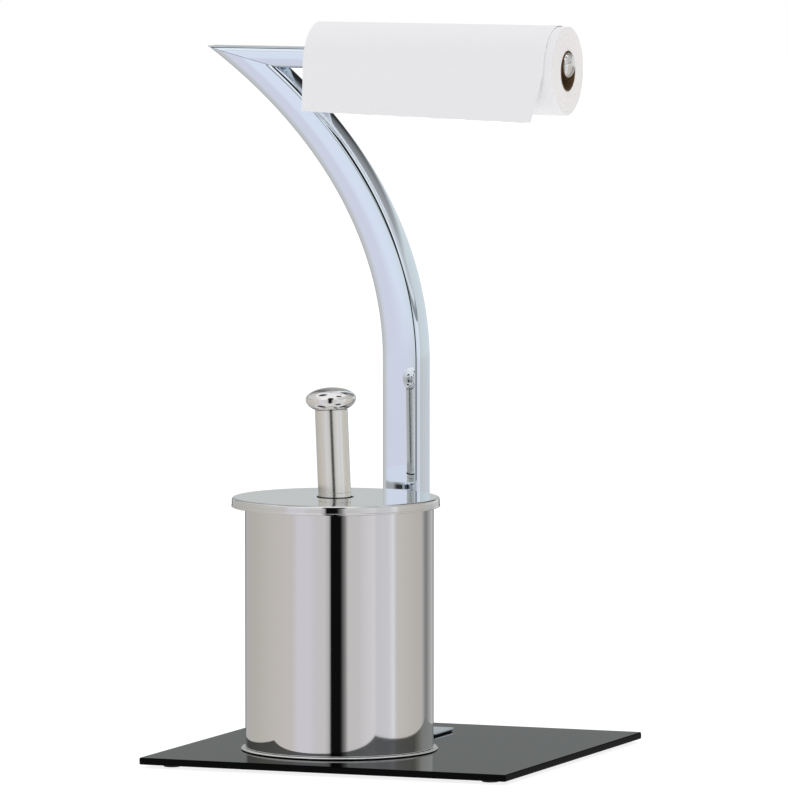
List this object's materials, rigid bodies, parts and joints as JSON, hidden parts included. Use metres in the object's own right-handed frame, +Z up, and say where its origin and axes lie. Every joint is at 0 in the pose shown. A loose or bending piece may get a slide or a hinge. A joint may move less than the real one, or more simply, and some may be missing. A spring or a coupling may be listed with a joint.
{
  "type": "paper towel holder",
  "caption": "Free-standing paper roll holder on a square black glass base, with a curved post, a level arm and a lidded brush canister.",
  "frame": {"origin": "under the middle of the whole object's box, on the surface that its rubber feet stand on", "axes": "+Z up; +X along the arm and spindle, the way the roll comes off; -Y is the front, where the canister stands"},
  "size_m": [0.377, 0.338, 0.6342],
  "materials": {
    "black_glass": "gloss",
    "rubber": "matte",
    "chrome": "polished",
    "polished_steel": "polished",
    "bolt_steel": "satin",
    "black_plastic": "satin",
    "white_plastic": "satin",
    "bristle_fibre": "matte",
    "cardboard": "matte",
    "paper": "matte"
  },
  "bodies": {
    "stand": {"glass_base": "black_glass", "rubber_foot_front_left": "rubber", "rubber_foot_front_right": "rubber", "rubber_foot_rear_left": "rubber", "rubber_foot_rear_right": "rubber", "foot_plate_gasket": "rubber", "post_foot_plate": "chrome", "post_insert_block": "bolt_steel", "fixing_bolt_left": "bolt_steel", "fixing_washer_left": "bolt_steel", "fixing_bolt_right": "bolt_steel", "fixing_washer_right": "bolt_steel", "curved_post": "chrome", "arm": "chrome", "arm_end_plate": "chrome", "spindle_tube": "chrome", "spindle_end_cap": "chrome"},
    "canister": {"canister_shell": "polished_steel", "canister_floor": "polished_steel", "canister_lip": "polished_steel"},
    "cup": {"inner_cup": "black_plastic"},
    "lid": {"lid": "polished_steel", "lid_locating_ring": "black_plastic"},
    "brush": {"handle_tube": "chrome", "handle_knob": "chrome", "handle_plug": "black_plastic", "brush_rod": "white_plastic", "brush_stock": "white_plastic", "bristles": "bristle_fibre"},
    "loose_end": {"loose_sheet": "paper"},
    "roll": {"cardboard_core": "cardboard", "paper_roll": "paper"}
  },
  "joints": [
    {"name": "canister_lift", "type": "slide", "parent": "stand", "child": "canister", "axis": [0, 0, 1], "range_m": [0, 0.03]},
    {"name": "cup_lift", "type": "slide", "parent": "canister", "child": "cup", "axis": [0, 0, 1], "range_m": [0, 0.2]},
    {"name": "lid_lift", "type": "slide", "parent": "cup", "child": "lid", "axis": [0, 0, 1], "range_m": [0, 0.09]},
    {"name": "brush_lift", "type": "slide", "parent": "lid", "child": "brush", "axis": [-0.0419, 0, 0.9991], "range_m": [0, 0.105]},
    {"name": "roll_pull", "type": "slide", "parent": "stand", "child": "loose_end", "axis": [1, 0, 0], "range_m": [0, 0.24]},
    {"name": "roll_spin", "type": "hinge", "parent": "loose_end", "child": "roll", "pos_m": [0.03499, 0.091, 0.59435], "axis": [1, 0, 0], "continuous": true}
  ]
}
